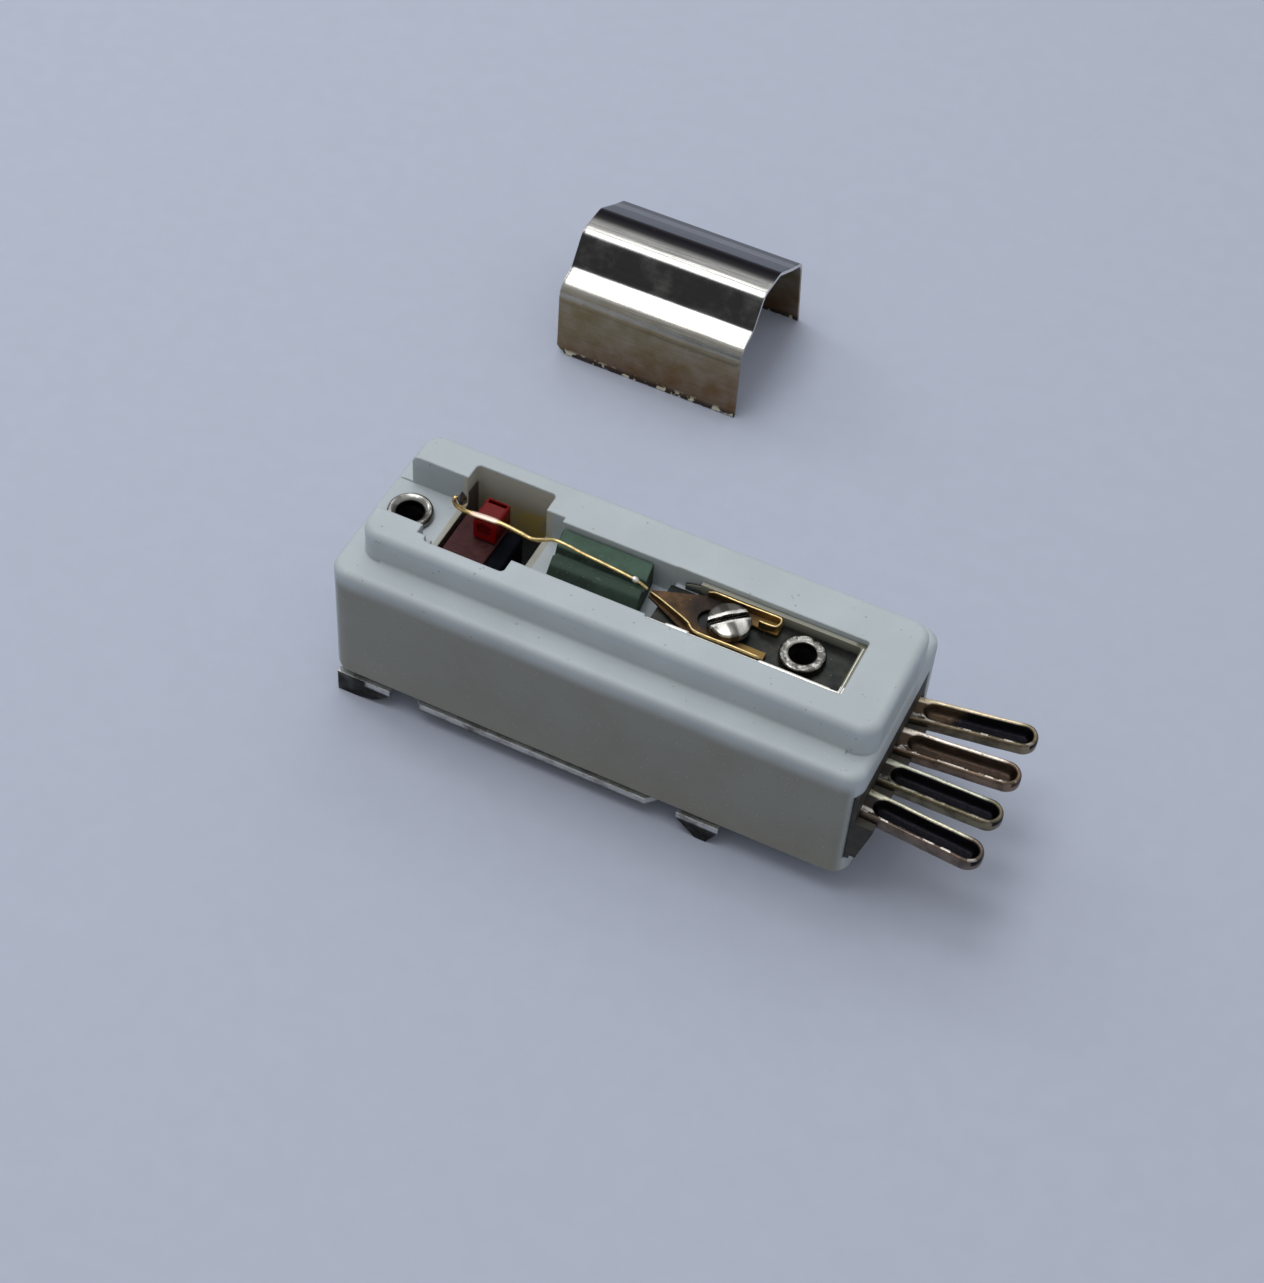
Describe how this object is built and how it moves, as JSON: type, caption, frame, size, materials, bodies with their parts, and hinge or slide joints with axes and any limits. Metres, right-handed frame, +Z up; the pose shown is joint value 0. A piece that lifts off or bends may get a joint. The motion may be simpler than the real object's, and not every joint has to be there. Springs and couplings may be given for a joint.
{
  "type": "phono cartridge",
  "caption": "Ceramic phono cartridge in a stepped white body on an eared metal bracket, with a screwed-on needle, fanned terminals and a loose cover clip.",
  "frame": {"origin": "middle of the bracket plate's underside, on the body's middle line", "axes": "+X from the stylus end to the terminal end, +Z up from the bracket to the stylus side"},
  "size_m": [0.0344, 0.0359, 0.0118],
  "materials": {
    "white_moulding": "cool white moulded plastic, satin with soft edges",
    "bright_nickel": "nickel plate, bright with light handling marks",
    "dark_nickel": "tarnished nickel strip with bright worn rims",
    "gold_plate": "gold plate, bright on edges and brown in the hollows",
    "jewel": "dark polished jewel",
    "green_damper": "soft sage green damping rubber",
    "dark_red_resin": "dusty dark red plastic",
    "red_resin": "bright translucent red plastic",
    "black_rubber": "blue black soft rubber",
    "grey_ceramic": "fired ceramic strip with grey electrode faces",
    "brown_resin": "dark grey brown moulded resin",
    "terminal_metal": "tarnished terminal metal with bright rims",
    "brass": "plain turned brass",
    "copper_lead": "bare copper wire",
    "clip_nickel": "polished nickel sheet with drawn grain and small burrs"
  },
  "bodies": {
    "body": {"body_shell": "white_moulding", "mounting_bracket": "bright_nickel", "stylus_tray": "dark_nickel", "front_eyelet": "bright_nickel", "rear_eyelet": "dark_nickel", "screw_insert": "brass", "needle_shoe": "gold_plate", "damping_pad": "green_damper", "element_clamp": "black_rubber", "terminal_block": "brown_resin", "terminal_pin_1": "terminal_metal", "terminal_lead_1": "copper_lead", "terminal_pin_2": "terminal_metal", "terminal_lead_2": "copper_lead", "terminal_pin_3": "terminal_metal", "terminal_lead_3": "copper_lead", "terminal_pin_4": "terminal_metal", "terminal_lead_4": "copper_lead"},
    "needle": {"needle_wire": "gold_plate", "jewel_tip": "jewel"},
    "pickup": {"coupler_yoke": "dark_red_resin", "coupler_saddle": "red_resin", "rubber_boot": "black_rubber", "near_element": "grey_ceramic", "far_element": "grey_ceramic"},
    "screw": {"needle_screw": "bright_nickel"},
    "clip": {"cover_clip": "clip_nickel"}
  },
  "joints": [
    {"name": "element_flex", "type": "hinge", "parent": "body", "child": "pickup", "pos_m": [0.0055, -0.00065, 0.00405], "axis": [0, 1, 0], "range_deg": [-0.65, 0.95], "stiffness_Nm_per_rad": 0.03},
    {"name": "needle_flex", "type": "hinge", "parent": "body", "child": "needle", "pos_m": [0.00073, -0.00025, 0.00915], "axis": [0, 1, 0], "range_deg": [-1.05, 1.5]},
    {"name": "screw_turn", "type": "hinge", "parent": "body", "child": "screw", "pos_m": [0.00495, -0.00042, 0.009], "axis": [0, 0, 1], "range_deg": [0, 990]},
    {"name": "clip_lift", "type": "slide", "parent": "body", "child": "clip", "axis": [0, 0, 1], "range_m": [0, 0.02]}
  ],
  "couplings": [
    {"joint": "needle_flex", "follows": "element_flex", "ratio": 1.55}
  ]
}
